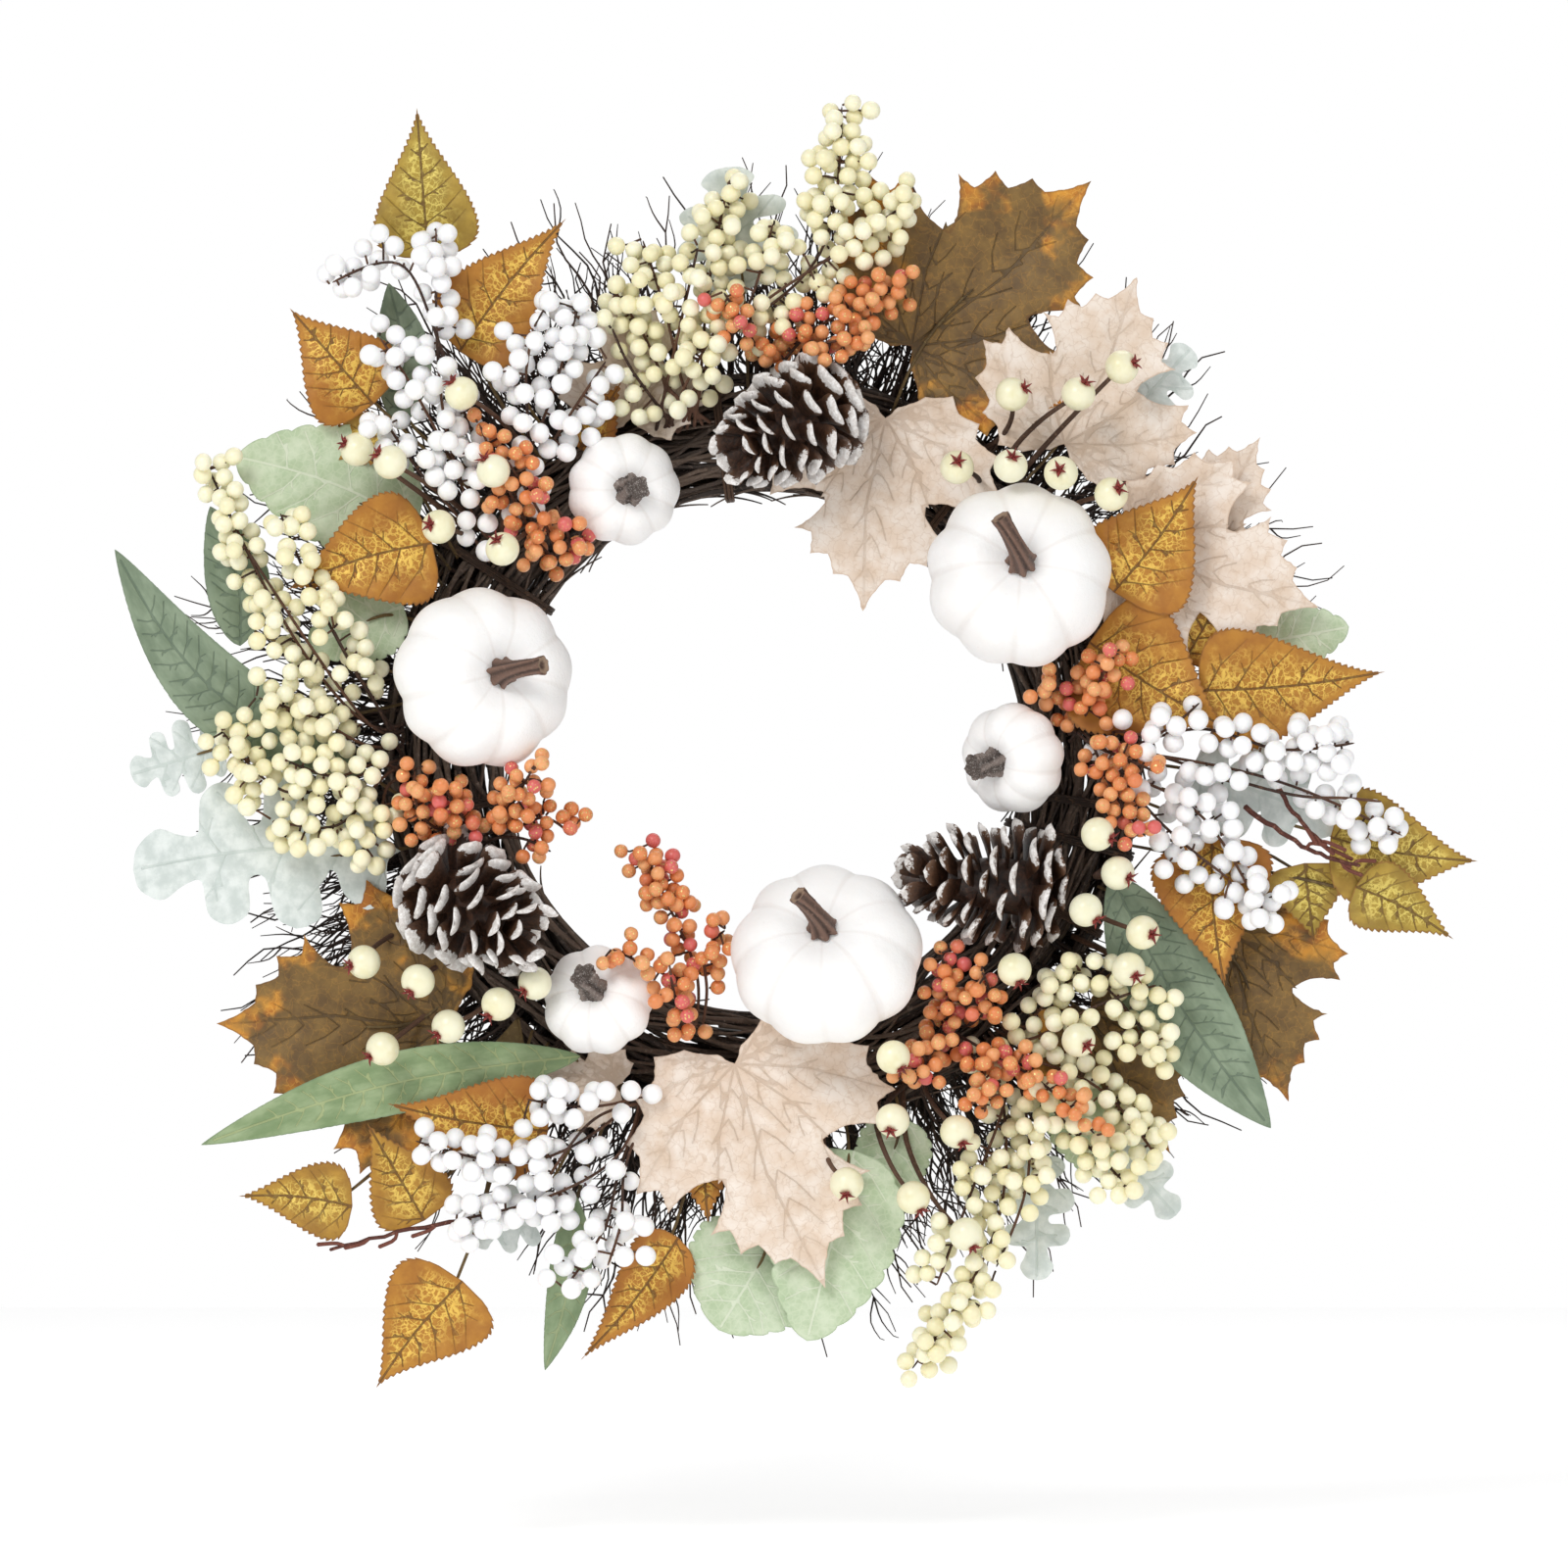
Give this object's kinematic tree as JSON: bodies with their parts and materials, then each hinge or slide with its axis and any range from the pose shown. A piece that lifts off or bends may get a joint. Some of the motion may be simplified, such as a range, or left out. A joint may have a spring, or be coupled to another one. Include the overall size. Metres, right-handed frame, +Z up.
{
  "type": "door wreath",
  "caption": "Round harvest wreath for a door: bound vines dressed with pale pumpkins, pine cones, autumn leaves, twigs and berry sprays, hung by a swinging wire loop",
  "frame": {"origin": "middle of the straight hanger bar at the back of the wire frame, on the axis the hanging loop turns on", "axes": "+X to the right seen from the front, +Y from the front toward the door, +Z up"},
  "size_m": [0.599, 0.1302, 0.5671],
  "materials": {
    "frame_wire": "satin black lacquer on steel wire",
    "vine": "dry grapevine bark, matt and stringy",
    "raffia": "dark bark strip wound round the bundle",
    "twig": "thin dark brown dried twigs",
    "pumpkin_foam": "painted foam, matt off-white",
    "pumpkin_stem": "moulded stem painted brown with grooves",
    "pick_wood": "plain wooden or wire pick",
    "pine_scale": "dark brown cone scales with white painted tips",
    "gold_leaf": "printed fabric, ochre with gold veins",
    "brown_leaf": "printed fabric, dark brown with orange patches",
    "beige_leaf": "printed fabric, mottled beige with soft veins",
    "green_leaf": "printed fabric, grey green with fine veins",
    "pale_leaf": "printed fabric, pale sage with light veins",
    "frosted_leaf": "flocked fabric, pale grey white",
    "leaf_wire": "wire sleeved in brown plastic",
    "berry_stem": "wire sleeved in dark brown plastic",
    "white_berry": "matt white foam bead",
    "cream_berry": "matt cream foam bead",
    "orange_berry": "glossy orange bead with red and gold glitter",
    "rosehip": "satin cream hip",
    "calyx": "dark red dried sepals"
  },
  "bodies": {
    "root": {"wire_frame": "frame_wire", "vine_ring": "vine", "binding_bands": "raffia", "twig_fan_1": "twig", "twig_fan_2": "twig", "twig_fan_3": "twig", "twig_fan_4": "twig", "twig_fan_5": "twig", "twig_fan_6": "twig", "twig_fan_7": "twig", "pumpkin_large_left": "pumpkin_foam", "pumpkin_large_right": "pumpkin_foam", "pumpkin_large_bottom": "pumpkin_foam", "pumpkin_small_top": "pumpkin_foam", "pumpkin_small_right": "pumpkin_foam", "pumpkin_small_bottom": "pumpkin_foam", "pumpkin_stem_large_left": "pumpkin_stem", "pumpkin_stem_large_right": "pumpkin_stem", "pumpkin_stem_large_bottom": "pumpkin_stem", "pumpkin_stem_small_top": "pumpkin_stem", "pumpkin_stem_small_right": "pumpkin_stem", "pumpkin_stem_small_bottom": "pumpkin_stem", "pumpkin_picks": "pick_wood", "pine_cone_top": "pine_scale", "pine_cone_left": "pine_scale", "pine_cone_right": "pine_scale", "cone_picks": "pick_wood", "gold_leaves_top": "gold_leaf", "gold_leaves_right": "gold_leaf", "gold_leaves_bottom": "gold_leaf", "brown_maple_leaves": "brown_leaf", "beige_maple_leaves_top": "beige_leaf", "beige_maple_leaves_right": "beige_leaf", "beige_maple_leaves_bottom": "beige_leaf", "long_green_leaves": "green_leaf", "scalloped_leaves": "pale_leaf", "frosted_leaves": "frosted_leaf", "gold_leaf_wires": "leaf_wire", "maple_leaf_wires": "leaf_wire", "green_leaf_wires": "leaf_wire", "frosted_leaf_wires": "leaf_wire", "white_berries_top": "white_berry", "white_berries_right": "white_berry", "white_berries_bottom": "white_berry", "cream_berries_top": "cream_berry", "cream_berries_left": "cream_berry", "cream_berries_bottom": "cream_berry", "white_berry_stems": "berry_stem", "cream_berry_stems_top": "berry_stem", "cream_berry_stems_left": "berry_stem", "cream_berry_stems_bottom": "berry_stem", "orange_berries": "orange_berry", "orange_berry_stems": "berry_stem", "rosehips": "rosehip", "rosehip_wires": "berry_stem", "rosehip_calyxes": "calyx"},
    "hanger": {"hanging_loop": "frame_wire"}
  },
  "joints": [
    {"name": "hanging_loop_swing", "type": "hinge", "parent": "root", "child": "hanger", "pos_m": [0, 0, 0], "axis": [1, 0, 0], "range_deg": [0, 180]}
  ]
}
